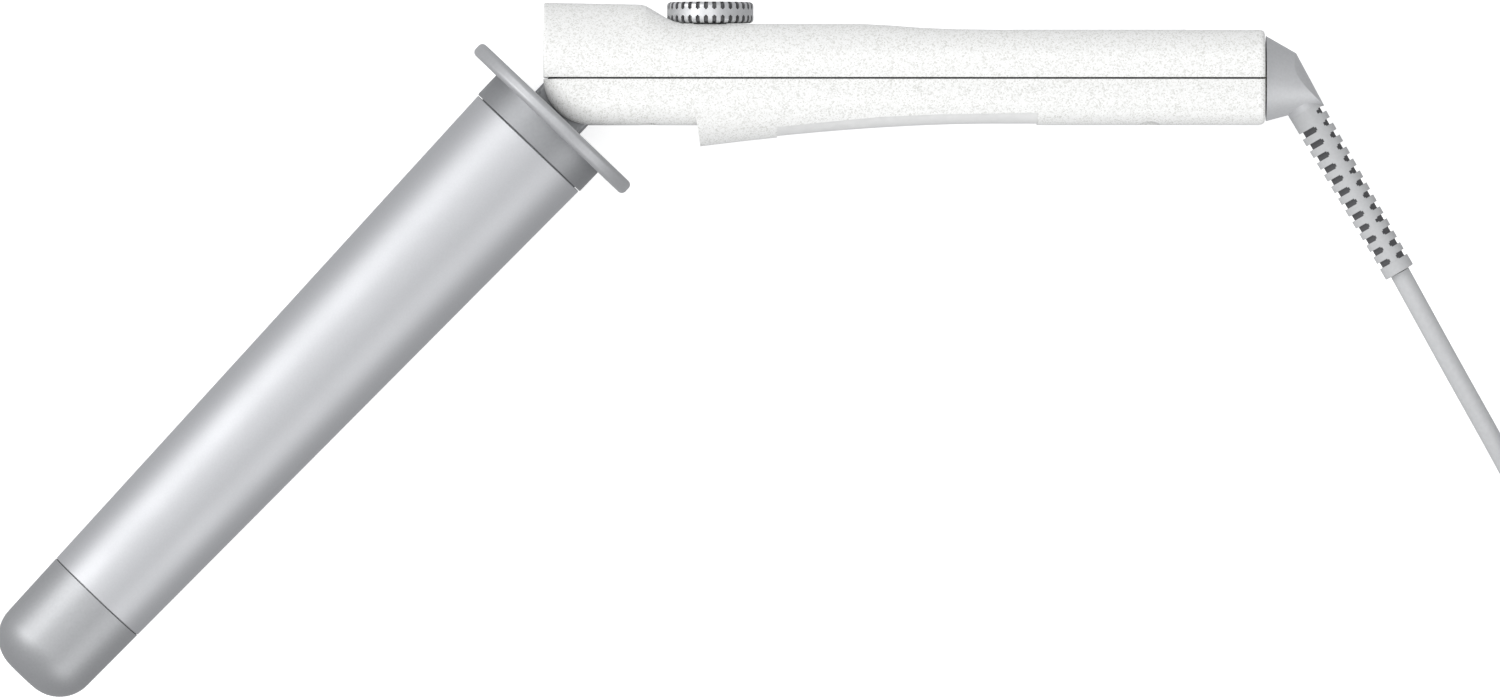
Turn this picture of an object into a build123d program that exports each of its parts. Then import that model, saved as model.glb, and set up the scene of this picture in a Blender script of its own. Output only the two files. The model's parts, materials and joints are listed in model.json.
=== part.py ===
from build123d import *
import os
from math import cos, pi, radians, sin, tan

# Folding-handle curling wand, lying on its side. Millimetres.
# While the pieces are made, the origin is the middle of the fold hinge: +X runs along the handle to
# the cord, +Y to the handle's top, +Z up along the hinge pin. The last step puts the origin at the
# base of the wand.

# ---- handle ----
FRONT_X = -10.6
REAR_X = 154.3
HALF_WIDTH = 14.5
REAR_HALF_WIDTH = 12.4
TAPER_START_X = 24.0
WALL = 2.2
PARTING_GAP = 0.44
END_ROUND = 1.0
UPPER_CORNER_Y = 5.0
UPPER_WAIST = 0.3
UPPER_WAIST_Y = 1.8
LOWER_CORNER_Y = 5.5
LOWER_WAIST = 0.7
LIP_INSET = 1.3
LIP_RISE = 1.1
LIP_DROP = 2.5
LIP_SLACK = 0.1

# height of the upper shell above the parting line: front block, slope behind it, slim grip
UPPER_PROFILE = [
    (FRONT_X, 17.35), (11.6, 16.9), (12.8, 16.6), (17.4, 13.85), (19.2, 13.0), (21.4, 12.5),
    (24.0, 12.42), (62.7, 12.4), (69.0, 12.05), (76.2, 11.5), (84.0, 11.2), (96.0, 11.06),
    (REAR_X, 11.06),
]

# depth of the lower shell: slim front, then a pod that fades into the grip
FRONT_DEPTH = 10.6
REAR_DEPTH = 10.6
POD_RISE = 5.0
POD_X = 24.5
POD_END_X = 90.0
POD_FADE = 1.7
POD_STATIONS = 10
POD_RAKE = 8.3
CAVITY_START_X = 1.0

# ---- grip pad in the underside ----
PAD_START_X = 42.8
PAD_END_X = 102.3
PAD_BORDER = [(42.8, -11.24), (56.0, -9.9), (66.1, -8.95), (79.4, -8.35), (102.3, -8.0)]
PAD_SINK = 0.35
PAD_DEPTH = 1.25

# ---- badge plate on the top ----
BADGE_X = (96.7, 136.3)
BADGE_HALF_WIDTH = 5.0
BADGE_THICK = 0.8
BADGE_PROUD = 0.12

# ---- fold hinge ----
FOLD_ANGLE = 46.4
PIN_RADIUS = 3.0
PIN_HALF_LENGTH = 10.5
KNUCKLE_RADIUS = 7.0
KNUCKLE_HALF_WIDTH = 5.6
SLOT_HALF_WIDTH = 6.4
SLOT_CLEAR = 0.35
PIN_CLEAR = 0.05
CHEEK_REACH = 7.0
WASHER_RADIUS = 5.2
LEAD_CHANNEL_OFFSET = 4.9
LEAD_CHANNEL_RADIUS = 1.3

# ---- barrel, by distance from the hinge along its own axis ----
SHIELD_BACK = 10.9
SHIELD_THICK = 3.4
SHIELD_RADIUS = 23.7
SHIELD_EDGE = 1.2
COLLAR_END = 20.5
COLLAR_RADIUS = 16.1
TUBE_END = 163.7
TUBE_START_RADIUS = 15.87
TUBE_END_RADIUS = 12.78
TUBE_WALL = 1.2
SEAM = 0.15
TIP_END = 188.7
TIP_ROUND = 8.9
NECK_PLATE_RADIUS = 12.0
NECK_PLATE_THICK = 2.6
SPIGOT_LENGTH = 5.0

# ---- temperature dial ----
DIAL_X = 27.5
DIAL_RADIUS = 9.88
DIAL_BOTTOM = 12.68
DIAL_TOP = 17.5
DIAL_EDGE = 0.9
DIAL_NOTCHES = 32
NOTCH_RADIUS = 0.5
NOTCH_LENGTH = 1.5
NOTCH_DEPTH = 0.62
DIAL_NECK_RADIUS = 3.9
SHAFT_RADIUS = 2.5
POT_TOP = 7.6

# ---- cord swivel ----
ELBOW_X = REAR_X + 0.4
ELBOW_RADIUS = 9.8
ELBOW_MID_X = 163.9
ELBOW_MID_RADIUS = 5.9
ELBOW_MID_Y = -1.4
ELBOW_FACET = ((161.5, 6.04), (167.8, -5.7))
ELBOW_FACET_RADIUS = 10.5
HUB_RADIUS = 5.2
HUB_START_X = 137.0
SEAT_X = (145.6, 151.8)
SEAT_RADIUS = 7.6
RELIEF_ROOT = (163.5, -6.75)
RELIEF_TIP = (185.3, -44.3)
RELIEF_ROOT_RADIUS = 4.1
RELIEF_TIP_RADIUS = 3.5
RELIEF_CORE_ROOT = 3.15
RELIEF_CORE_TIP = 2.85
RELIEF_PITCH = 3.14
RELIEF_LAST_SLOT = 39.95
RELIEF_SLOT = 1.4
SPINE_LEFT = 1.3
SPINE_RIGHT = 1.7

# ---- cord ----
CORD_RADIUS = 2.3
FLOOR_Z = -SHIELD_RADIUS
CORD_GAP = 0.3
CORD_HEADING = (0.482, -0.876)
COIL_MID_RADIUS = 23.0
COIL_ROWS = 3
COIL_LAYERS = 4
COIL_PITCH = 4.7
COIL_LEAD_IN = 75.0
COIL_EXIT_DEG = 30.0
TIE_THICK = 0.8
TIE_WIDTH = 6.0
TIE_SLACK = 0.4
TIE_DEG = -60.0
# the lead from the strain relief to the coil: distance along its heading, height over the floor
LEAD_ROUTE = [(0.0, 23.7), (14.0, 22.9), (29.0, 17.2), (45.0, 8.2), (59.0, 3.1), (71.0, 2.3)]
# the tail from the coil to the plug, in the same way
TAIL_ROUTE = [(0.0, 16.4), (13.0, 16.1), (27.0, 11.4), (41.0, 7.0), (54.0, 7.0)]
PLUG_LENGTH = 24.0
PLUG_HALF_WIDTH = 11.0
PLUG_HALF_THICK = 6.6
PLUG_BOOT = 10.0
BLADE = (6.3, 1.5, 17.0)
BLADE_SPACING = 12.7


# ---------------------------------------------------------------- helpers

def between(profile, x):
    """Value of a straight-line profile at x."""
    for (x0, v0), (x1, v1) in zip(profile, profile[1:]):
        if x0 <= x <= x1:
            return v0 + (v1 - v0) * (x - x0) / (x1 - x0)
    return profile[0][1] if x < profile[0][0] else profile[-1][1]


def handle_half_width(x):
    share = max(0.0, (x - TAPER_START_X) / (REAR_X - TAPER_START_X))
    return HALF_WIDTH + (REAR_HALF_WIDTH - HALF_WIDTH) * share


def pod_depth(x):
    share = max(0.0, (POD_END_X - x) / (POD_END_X - POD_X))
    return REAR_DEPTH + POD_RISE * share ** POD_FADE


def shell_section(x, height, side, inset, waist, waist_y, corner_y, base):
    """Cross-section of one shell at x: side +1 is the upper shell, -1 the lower one."""
    wide = handle_half_width(x) - inset
    tall = height - inset
    flat = wide - 0.95 * (tall - corner_y)
    hold = 0.5523

    def points(sign):
        return [
            (x, side * base, sign * (wide - waist)),
            (x, side * (base + 0.4 * (waist_y - base)), sign * (wide - 0.45 * waist)),
            (x, side * (base + 0.7 * (waist_y - base)), sign * wide),
            (x, side * waist_y, sign * wide),
            (x, side * corner_y, sign * wide),
            (x, side * (corner_y + hold * (tall - corner_y)), sign * wide),
            (x, side * tall, sign * (flat + (1 - hold) * (wide - flat))),
            (x, side * tall, sign * flat),
        ]

    edges = []
    for sign in (1, -1):
        p = points(sign)
        edges += [Bezier(*p[0:4]), Line(p[3], p[4]), Bezier(*p[4:8])]
    right, left = points(1), points(-1)
    edges += [Line(right[7], left[7]), Line(right[0], left[0])]
    return Face(Wire(edges))


def end_rounding(x, x_start, x_end, round_start, round_end):
    """Extra inset that rounds a shell's ends over."""
    inset = 0.0
    if x - x_start < round_start:
        inset = round_start - (round_start ** 2 - (round_start - (x - x_start)) ** 2) ** 0.5
    if x_end - x < round_end:
        inset = round_end - (round_end ** 2 - (round_end - (x_end - x)) ** 2) ** 0.5
    return inset


def rounding_places(x, radius, towards):
    """Places along X that carry a quarter round of this radius."""
    return [x + towards * radius * (1 - cos(radians(a))) for a in (0, 30, 60, 90)]


def upper_body(inset=0.0, base=PARTING_GAP / 2):
    start, end = FRONT_X + inset, REAR_X - inset
    rounds = (0.0, 0.0) if inset else (END_ROUND / 2, END_ROUND)
    places = {x for x, _ in UPPER_PROFILE if start < x < end} | {start, end}
    if not inset:
        places |= set(rounding_places(start, rounds[0], 1)) | set(rounding_places(end, rounds[1], -1))
    faces = []
    for x in sorted(places):
        extra = end_rounding(x, start, end, *rounds) if not inset else 0.0
        faces.append(shell_section(x, between(UPPER_PROFILE, x), 1, inset + extra,
                                   UPPER_WAIST, UPPER_WAIST_Y, UPPER_CORNER_Y, base))
    return loft(faces, ruled=True)


def lower_section(x, depth, inset, base):
    return shell_section(x, depth, -1, inset, LOWER_WAIST, LOWER_CORNER_Y - 0.5, LOWER_CORNER_Y, base)


def pod_places(start):
    """Places along X that draw the pod's fade into the grip."""
    steps = {start + (POD_END_X - start) * i / POD_STATIONS for i in range(POD_STATIONS + 1)}
    return steps | {PAD_END_X}


def lower_outside():
    """Slim front and deeper pod of the lower shell, meeting at the raked step between them."""
    base = PARTING_GAP / 2
    front = loft([lower_section(x, FRONT_DEPTH, 0.0, base) for x in (FRONT_X, TAPER_START_X, POD_X + 3)],
                 ruled=True)
    places = pod_places(POD_X - 3) | {TAPER_START_X} | set(rounding_places(REAR_X, END_ROUND, -1))
    faces = []
    for x in sorted(places):
        extra = end_rounding(x, FRONT_X, REAR_X, 0.0, END_ROUND)
        faces.append(lower_section(x, pod_depth(x), extra, base))
    pod = loft(faces, ruled=True)
    rake = radians(POD_RAKE)
    step = Plane(origin=(POD_X, -FRONT_DEPTH, 0), z_dir=(cos(rake), sin(rake), 0))
    return split(front, bisect_by=step, keep=Keep.BOTTOM) + split(pod, bisect_by=step, keep=Keep.TOP)


def front_wheel():
    """The lower section turned about the hinge, which rounds the lower front of the handle."""
    section = shell_section(0, FRONT_DEPTH, -1, 0.0, 0.0, LOWER_CORNER_Y - 0.5, LOWER_CORNER_Y, 0.0)
    return revolve(section, Axis.Z, 360)


def lower_inside(inset, base=PARTING_GAP / 2, start=None):
    """The lower shell's outside shrunk by an inset, with a ramp in place of the step."""
    start, end = start or FRONT_X + inset, REAR_X - inset
    ramp = POD_X + inset + 4
    sections = [(x, FRONT_DEPTH) for x in (start, TAPER_START_X, POD_X + inset)]
    sections += [(x, pod_depth(x)) for x in sorted(pod_places(ramp) | {end})]
    return loft([lower_section(x, depth, inset, base) for x, depth in sections], ruled=True)


def plan_outline(inset, low_y, high_y):
    """Prism of the handle's plan, from low_y to high_y."""
    plan = [(FRONT_X + inset, HALF_WIDTH - inset), (TAPER_START_X, HALF_WIDTH - inset),
            (REAR_X - inset, REAR_HALF_WIDTH - inset)]
    corners = [(x, low_y, z) for x, z in plan] + [(x, low_y, -z) for x, z in reversed(plan)]
    face = Face(Wire.make_polygon([Vector(*c) for c in corners]))
    return extrude(face, amount=high_y - low_y, dir=(0, 1, 0))


def block(x_span, y_span, z_span):
    size = [span[1] - span[0] for span in (x_span, y_span, z_span)]
    middle = [(span[1] + span[0]) / 2 for span in (x_span, y_span, z_span)]
    return Pos(*middle) * Box(*size)


def rod(start, end, radius):
    """Round bar between two points."""
    start, end = Vector(*start), Vector(*end)
    axis = end - start
    return Plane(origin=start, z_dir=axis) * Cylinder(
        radius, axis.length, align=(Align.CENTER, Align.CENTER, Align.MIN))


def turned(outline):
    """Solid of revolution about Z from (radius, height) corners."""
    face = Face(Wire.make_polygon([Vector(r, 0, s) for r, s in outline]))
    return revolve(face, Axis.Z, 360)


def ring_edges(solid, height):
    return solid.edges().filter_by(GeomType.CIRCLE).filter_by_position(
        Axis.Z, height - 0.01, height + 0.01)


def wire_run(points, radius, bend):
    """Round wire along straight runs with rounded corners."""
    path = FilletPolyline(*points, radius=bend) if len(points) > 2 else Line(*points)
    return sweep(path_section(path, radius), path=path)


def path_section(path, radius):
    return Plane(origin=path @ 0, z_dir=path % 0) * Circle(radius)


# ---------------------------------------------------------------- handle

SCREW_PLACES = [(13.5, 8.6), (13.5, -8.6), (128.0, 7.6), (128.0, -7.6)]
SCREW_SEAT_Y = -7.0
SCREW_HEAD = (2.3, 1.6)
SCREW_RADIUS = 1.15
SCREW_TIP_Y = 6.5
BOSS_RADIUS = 2.9


def hinge_cheeks(side):
    """Blocks beside the knuckle that hold one half of the pin."""
    cheeks = []
    for sign in (1, -1):
        z_span = sorted((sign * SLOT_HALF_WIDTH, sign * (HALF_WIDTH - 1.5)))
        y_span = sorted((side * PARTING_GAP / 2, side * CHEEK_REACH))
        cheeks.append(block((-CHEEK_REACH, CHEEK_REACH + 1), y_span, z_span))
    return cheeks


def pin_hole():
    return rod((0, 0, -PIN_HALF_LENGTH), (0, 0, PIN_HALF_LENGTH), PIN_RADIUS)


def knuckle_slot():
    """Room that the knuckle and its shank sweep as the barrel folds."""
    reach = KNUCKLE_RADIUS + SLOT_CLEAR
    z_span = (-SLOT_HALF_WIDTH, SLOT_HALF_WIDTH)
    slot = rod((0, 0, -SLOT_HALF_WIDTH), (0, 0, SLOT_HALF_WIDTH), reach)
    slot += block((FRONT_X - 5, 0), (-reach, reach), z_span)
    slot += block((-reach, reach), (-FRONT_DEPTH - 5, 0), z_span)
    slot += block((FRONT_X - 5, 0), (-FRONT_DEPTH - 5, 0), z_span)
    return slot


def posts(side, radius):
    reach = 20.0
    return [rod((x, side * PARTING_GAP / 2, z), (x, side * reach, z), radius) for x, z in SCREW_PLACES]


def hub_saddle(side):
    """Cradle for the swivel's bush at the rear of the handle."""
    x_span = (SEAT_X[0] + 1, SEAT_X[1])
    y_span = sorted((side * PARTING_GAP / 2, side * 20.0))
    return block(x_span, y_span, (-20, 20))


def swivel_room():
    bore = rod((SEAT_X[0] + 0.5, 0, 0), (SEAT_X[1], 0, 0), SEAT_RADIUS)
    return bore + rod((SEAT_X[1] - 1, 0, 0), (REAR_X + 1, 0, 0), HUB_RADIUS + 0.5)


def upper_shell():
    shell = upper_body() - upper_body(WALL, -1.0)
    inside = hinge_cheeks(1) + posts(1, BOSS_RADIUS) + [hub_saddle(1)]
    for piece in inside:
        shell += piece & upper_body(WALL / 2, PARTING_GAP / 2)
    shell -= plan_outline(LIP_INSET - LIP_SLACK, 0, LIP_RISE + LIP_SLACK) - block(
        (-12, 9.4), (-1, 2), (-20, 20))
    shell -= pin_hole() + knuckle_slot() + swivel_room()
    for x, z in SCREW_PLACES:
        shell -= rod((x, -1, z), (x, SCREW_TIP_Y + 0.5, z), SCREW_RADIUS + 0.05)
    pocket = rod((DIAL_X, 12.36, 0), (DIAL_X, 30, 0), DIAL_RADIUS + 0.4)
    shell -= pocket + rod((DIAL_X, 0, 0), (DIAL_X, 30, 0), DIAL_NECK_RADIUS + 0.3)
    return shell - badge_room()


def lower_shell():
    shell = lower_outside() - lower_inside(PAD_DEPTH + 1.2, -1.0, CAVITY_START_X)
    inside = hinge_cheeks(-1) + posts(-1, BOSS_RADIUS + 0.4) + [hub_saddle(-1)]
    for piece in inside:
        shell += piece & lower_inside(WALL / 2)
    lip = plan_outline(LIP_INSET, -LIP_DROP, LIP_RISE) - plan_outline(WALL + 0.3, -LIP_DROP, LIP_RISE)
    shell += lip - block((-12, 9.5), (-5, 2), (-20, 20))
    shell -= block((FRONT_X - 1, 0), (-FRONT_DEPTH - 1, 1), (-20, 20)) - front_wheel()
    shell -= pin_hole() + knuckle_slot() + swivel_room()
    for x, z in SCREW_PLACES:
        shell -= rod((x, -30, z), (x, 3, z), SCREW_RADIUS + 0.25)
        shell -= rod((x, -30, z), (x, SCREW_SEAT_Y, z), SCREW_HEAD[0] + 0.3)
    return shell - pad_room(0.0, PAD_DEPTH)


def pad_room(top_inset, bottom_inset):
    """Slice of the underside's skin that the grip pad fills, between two depths."""
    border = [(x, y) for x, y in PAD_BORDER]
    corners = border + [(PAD_END_X, -30), (PAD_START_X, -30)]
    zone = extrude(Face(Wire.make_polygon([Vector(x, y, -20) for x, y in corners])), amount=40, dir=(0, 0, 1))
    outer = lower_inside(top_inset) if top_inset else zone
    return (zone & outer) - lower_inside(bottom_inset, -1.0)


def grip_pad():
    return pad_room(PAD_SINK, PAD_DEPTH)


def badge_room(proud=0.0):
    top = between(UPPER_PROFILE, BADGE_X[0])
    plate = block(BADGE_X, (top - BADGE_THICK, top + (proud or 3.0)), (-BADGE_HALF_WIDTH, BADGE_HALF_WIDTH))
    return fillet(plate.edges().filter_by(Axis.Y), 1.0)


def badge_plate():
    return badge_room(BADGE_PROUD)


def shell_screws():
    screws = []
    for x, z in SCREW_PLACES:
        head = rod((x, SCREW_SEAT_Y - SCREW_HEAD[1], z), (x, SCREW_SEAT_Y, z), SCREW_HEAD[0])
        cross = Pos(x, SCREW_SEAT_Y - SCREW_HEAD[1], z) * (Box(2.6, 1.4, 0.6) + Box(0.6, 1.4, 2.6))
        screws.append(head + rod((x, SCREW_SEAT_Y, z), (x, SCREW_TIP_Y, z), SCREW_RADIUS) - cross)
    return screws


def hinge_pin():
    pin = pin_hole()
    return chamfer(pin.edges().filter_by(GeomType.CIRCLE), 0.4)


def wave_washers():
    """Sprung washers between the knuckle and the cheeks; they give the hinge its friction."""
    gap = SLOT_HALF_WIDTH - KNUCKLE_HALF_WIDTH
    washers = []
    for sign in (1, -1):
        low = sign * (KNUCKLE_HALF_WIDTH + 0.1)
        high = sign * (KNUCKLE_HALF_WIDTH + gap)
        bore = rod((0, 0, sign * 5), (0, 0, sign * 7), PIN_RADIUS)
        washers.append(rod((0, 0, low), (0, 0, high), WASHER_RADIUS) - bore)
    return washers


# ---------------------------------------------------------------- inside the handle

BOARD_X = (19.5, 96.0)
BOARD_Y = (2.0, 3.6)
BOARD_HALF_WIDTH = 9.0
BOARD_SCREWS_X = (42.0, 91.0)


def circuit_board():
    board = block(BOARD_X, BOARD_Y, (-BOARD_HALF_WIDTH, BOARD_HALF_WIDTH))
    board = fillet(board.edges().filter_by(Axis.Y), 1.0)
    for x in BOARD_SCREWS_X:
        board -= rod((x, 0, 0), (x, 5, 0), 1.3)
    return board


def board_screws():
    """Screws that clamp the board to posts under the upper shell's roof."""
    screws = []
    for x in BOARD_SCREWS_X:
        head = rod((x, BOARD_Y[0] - 1.3, 0), (x, BOARD_Y[0], 0), 2.2)
        screws.append(head + rod((x, BOARD_Y[0], 0), (x, 8.0, 0), 1.1))
    return screws


def potentiometer_body():
    body = block((DIAL_X - 5.5, DIAL_X + 5.5), (BOARD_Y[1], POT_TOP), (-5.5, 5.5))
    body = fillet(body.edges().filter_by(Axis.Y), 0.8)
    return body - rod((DIAL_X, 5, 0), (DIAL_X, POT_TOP + 1, 0), SHAFT_RADIUS + 0.05)


def triac():
    body = block((52, 62), (BOARD_Y[1], 8.0), (-3, 1.5))
    return body + block((49, 65), (BOARD_Y[1], 4.9), (1.5, 2.7))


def film_capacitor():
    body = block((68, 84), (BOARD_Y[1], 8.2), (-5.5, 2.5))
    return fillet(body.edges(), 0.8)


def line_fuse():
    glass = rod((68.5, 5.6, 6.0), (85.5, 5.6, 6.0), 1.5)
    caps = rod((67.5, 5.6, 6.0), (71.5, 5.6, 6.0), 1.95) + rod((82.5, 5.6, 6.0), (86.5, 5.6, 6.0), 1.95)
    return glass + caps


def handle_wires():
    """Leads from the brushes to the board and from the board to the hinge."""
    runs = []
    for sign in (1, -1):
        runs.append(wire_run([(BOARD_X[1], 1.0, sign * 3.5), (108, 1.0, sign * 3.5), (122, -2.0, sign * 2.6),
                              (131.8, -2.0, sign * 2.6)], 0.9, 4.0))
        runs.append(wire_run([(10.0, -3.6, sign * 2.6), (17.0, -3.6, sign * 2.6), (23.0, 0.6, sign * 3.5),
                              (30.0, 0.6, sign * 3.5)], 0.9, 2.5))
    return runs


# ---------------------------------------------------------------- dial

def temperature_dial():
    """Knurled dial on its shaft: a row of notches in the top rim and another in the bottom rim."""
    disc = rod((0, 0, 0), (0, 0, DIAL_TOP - DIAL_BOTTOM), DIAL_RADIUS)
    disc = fillet(disc.edges().filter_by(GeomType.CIRCLE), DIAL_EDGE)
    reach = DIAL_RADIUS + NOTCH_RADIUS - NOTCH_DEPTH
    for high in (True, False):
        cutters = []
        for i in range(DIAL_NOTCHES):
            turn = 2 * pi * (i + 0.5) / DIAL_NOTCHES
            x, y = reach * cos(turn), reach * sin(turn)
            inner = DIAL_TOP - DIAL_BOTTOM - NOTCH_LENGTH if high else NOTCH_LENGTH
            outer = DIAL_TOP - DIAL_BOTTOM + 1 if high else -1
            cutters.append(rod((x, y, inner), (x, y, outer), NOTCH_RADIUS))
        disc -= cutters
    disc += rod((0, 0, 8.6 - DIAL_BOTTOM), (0, 0, 0.5), DIAL_NECK_RADIUS)
    disc -= rod((0, 0, -6), (0, 0, 2.5), SHAFT_RADIUS)
    return Plane(origin=(DIAL_X, DIAL_BOTTOM, 0), x_dir=(1, 0, 0), z_dir=(0, 1, 0)) * disc


def dial_shaft():
    return rod((DIAL_X, 5.2, 0), (DIAL_X, DIAL_BOTTOM + 2.5, 0), SHAFT_RADIUS)


# ---------------------------------------------------------------- barrel

FOLD = radians(FOLD_ANGLE)
BARREL = Plane(origin=(0, 0, 0), x_dir=(sin(FOLD), -cos(FOLD), 0), z_dir=(-cos(FOLD), -sin(FOLD), 0))
SHIELD_FRONT = SHIELD_BACK + SHIELD_THICK
SHANK_END = SHIELD_FRONT
NECK_SCREW_CIRCLE = 9.3


def tube_radius(s, inset=0.0):
    share = (s - COLLAR_END) / (TUBE_END - COLLAR_END)
    return TUBE_START_RADIUS + (TUBE_END_RADIUS - TUBE_START_RADIUS) * share - inset


def shank(grow=0.0):
    """Rounded bar from the hinge through the heat shield."""
    tall, wide = KNUCKLE_RADIUS + grow, KNUCKLE_HALF_WIDTH + grow
    bar = block((-tall, tall), (-wide, wide), (0, SHANK_END))
    return fillet(bar.edges().filter_by(Axis.Z), 1.0)


def lead_channels(start, end, radius):
    return [rod((sign * LEAD_CHANNEL_OFFSET, 0, start), (sign * LEAD_CHANNEL_OFFSET, 0, end), radius)
            for sign in (1, -1)]


def neck_screw_places():
    return [(NECK_SCREW_CIRCLE * cos(radians(a)), NECK_SCREW_CIRCLE * sin(radians(a))) for a in (45, 135, 225, 315)]


def barrel_neck():
    knuckle = rod((0, -KNUCKLE_HALF_WIDTH, 0), (0, KNUCKLE_HALF_WIDTH, 0), KNUCKLE_RADIUS)
    plate = rod((0, 0, SHANK_END), (0, 0, SHANK_END + NECK_PLATE_THICK), NECK_PLATE_RADIUS)
    neck = knuckle + shank() + plate
    neck -= rod((0, -10, 0), (0, 10, 0), PIN_RADIUS + PIN_CLEAR)
    neck -= lead_channels(-10, 20, LEAD_CHANNEL_RADIUS)
    for x, y in neck_screw_places():
        neck -= rod((x, y, 10), (x, y, 20), 1.3)
    return BARREL * neck


def heat_shield():
    disc = turned([(0, SHIELD_BACK), (SHIELD_RADIUS, SHIELD_BACK), (SHIELD_RADIUS, SHIELD_FRONT),
                   (0, SHIELD_FRONT)])
    disc = fillet(ring_edges(disc, SHIELD_BACK) + ring_edges(disc, SHIELD_FRONT), SHIELD_EDGE)
    disc -= block((-KNUCKLE_RADIUS, KNUCKLE_RADIUS), (-KNUCKLE_HALF_WIDTH, KNUCKLE_HALF_WIDTH), (0, 30))
    for x, y in neck_screw_places():
        disc -= rod((x, y, SHIELD_FRONT - 1.9), (x, y, 20), 1.15)
    return BARREL * disc


def neck_screws():
    screws = []
    for x, y in neck_screw_places():
        top = SHANK_END + NECK_PLATE_THICK
        screw = rod((x, y, SHIELD_FRONT - 1.8), (x, y, top), 1.1) + rod((x, y, top), (x, y, top + 1.4), 2.0)
        screws.append(BARREL * screw)
    return screws


def barrel_collar():
    inner = NECK_PLATE_RADIUS + 0.3
    spigot = tube_radius(COLLAR_END, TUBE_WALL) - 0.1
    outline = [(inner, SHIELD_FRONT), (COLLAR_RADIUS, SHIELD_FRONT), (COLLAR_RADIUS, COLLAR_END - SEAM),
               (spigot, COLLAR_END - SEAM), (spigot - 0.1, COLLAR_END + SPIGOT_LENGTH),
               (inner, COLLAR_END + SPIGOT_LENGTH)]
    collar = turned(outline)
    rim = ring_edges(collar, COLLAR_END - SEAM).sort_by(SortBy.LENGTH)[-1]
    return BARREL * fillet(rim, 0.3)


def barrel_tube():
    outline = [(tube_radius(COLLAR_END), COLLAR_END), (tube_radius(TUBE_END), TUBE_END),
               (tube_radius(TUBE_END, TUBE_WALL), TUBE_END), (tube_radius(COLLAR_END, TUBE_WALL), COLLAR_END)]
    tube = turned(outline)
    rims = [ring_edges(tube, s).sort_by(SortBy.LENGTH)[-1] for s in (COLLAR_END, TUBE_END)]
    return BARREL * chamfer(rims, 0.2)


def tip_cap():
    spigot = tube_radius(TUBE_END, TUBE_WALL) - 0.1
    end_radius = tube_radius(TIP_END)
    outline = [(0, TUBE_END + SEAM), (tube_radius(TUBE_END), TUBE_END + SEAM), (end_radius, TIP_END), (0, TIP_END)]
    cap = turned(outline)
    cap = fillet(ring_edges(cap, TIP_END), TIP_ROUND)
    cap += rod((0, 0, TUBE_END - SPIGOT_LENGTH), (0, 0, TUBE_END + 1), spigot)
    hollow = rod((0, 0, TUBE_END - SPIGOT_LENGTH - 1), (0, 0, TIP_END - 6.0), spigot - 2.0)
    boss = rod((0, 0, TUBE_END - SPIGOT_LENGTH), (0, 0, TIP_END - 5.0), 3.2)
    cap -= hollow - boss
    return BARREL * (cap - rod((0, 0, TUBE_END - 10), (0, 0, TUBE_END + 10.3), 1.3))


def insulating_ring():
    inner = LEAD_CHANNEL_OFFSET + LEAD_CHANNEL_RADIUS
    outer = NECK_PLATE_RADIUS + 0.2
    start = SHANK_END + NECK_PLATE_THICK + 1.6
    return BARREL * turned([(inner, start), (outer, start), (outer, start + 2.0), (inner, start + 2.0)])


# ---------------------------------------------------------------- inside the barrel

CLAMP_S = (58.0, 142.0)
STACK_HALF_WIDTH = 7.5
STONE_HALF_THICK = 1.3
PLATE_THICK = 0.4
MICA_THICK = 0.5
STONE_LENGTH = 22.0
BRACKET_S = 154.0


def heater_clamps():
    """Two half-round aluminium bars that press the heater stack against the tube."""
    start, end = CLAMP_S
    slack = TUBE_WALL + 0.12
    bar = turned([(0, start), (tube_radius(start, slack), start), (tube_radius(end, slack), end), (0, end)])
    half = STONE_HALF_THICK + PLATE_THICK + MICA_THICK
    bar -= block((-20, 20), (-half, half), (start - 1, end + 1))
    return [BARREL * solid for solid in bar.solids()]


def ptc_stones():
    stones = []
    for i in range(3):
        low = CLAMP_S[0] + 5 + i * (STONE_LENGTH + 3)
        stones.append(BARREL * block((-STACK_HALF_WIDTH + 1, STACK_HALF_WIDTH - 1),
                                     (-STONE_HALF_THICK, STONE_HALF_THICK), (low, low + STONE_LENGTH)))
    return stones


def stack_layers(low, thick, half_width, start, end):
    layers = []
    for sign in (1, -1):
        y_span = sorted((sign * low, sign * (low + thick)))
        layers.append(BARREL * block((-half_width, half_width), y_span, (start, end)))
    return layers


def electrode_plates():
    return stack_layers(STONE_HALF_THICK, PLATE_THICK, STACK_HALF_WIDTH, CLAMP_S[0] - 6, CLAMP_S[1] - 2)


def mica_sheets():
    return stack_layers(STONE_HALF_THICK + PLATE_THICK, MICA_THICK, STACK_HALF_WIDTH + 1, CLAMP_S[0] - 4, CLAMP_S[1])


def heater_leads():
    """Two leads from the hinge through the neck to the electrode plates, one with a gap for the cutout."""
    low = STONE_HALF_THICK + PLATE_THICK + MICA_THICK
    end = CLAMP_S[0] - 5
    straight = [BARREL * rod((LEAD_CHANNEL_OFFSET, 0, -4), (LEAD_CHANNEL_OFFSET, 0, 30), 0.95),
                BARREL * rod((-LEAD_CHANNEL_OFFSET, 0, -4), (-LEAD_CHANNEL_OFFSET, 0, end), 0.95)]
    bent = BARREL * wire_run([(LEAD_CHANNEL_OFFSET, 0, 42), (LEAD_CHANNEL_OFFSET, 0, 46),
                              (LEAD_CHANNEL_OFFSET, low + 0.6, end - 1)], 0.95, 2.0)
    return straight + [bent]


def thermal_cutout():
    body = rod((LEAD_CHANNEL_OFFSET, 0, 31), (LEAD_CHANNEL_OFFSET, 0, 41), 2.0)
    return BARREL * (body + rod((LEAD_CHANNEL_OFFSET, 0, 30), (LEAD_CHANNEL_OFFSET, 0, 42), 0.8))


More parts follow.
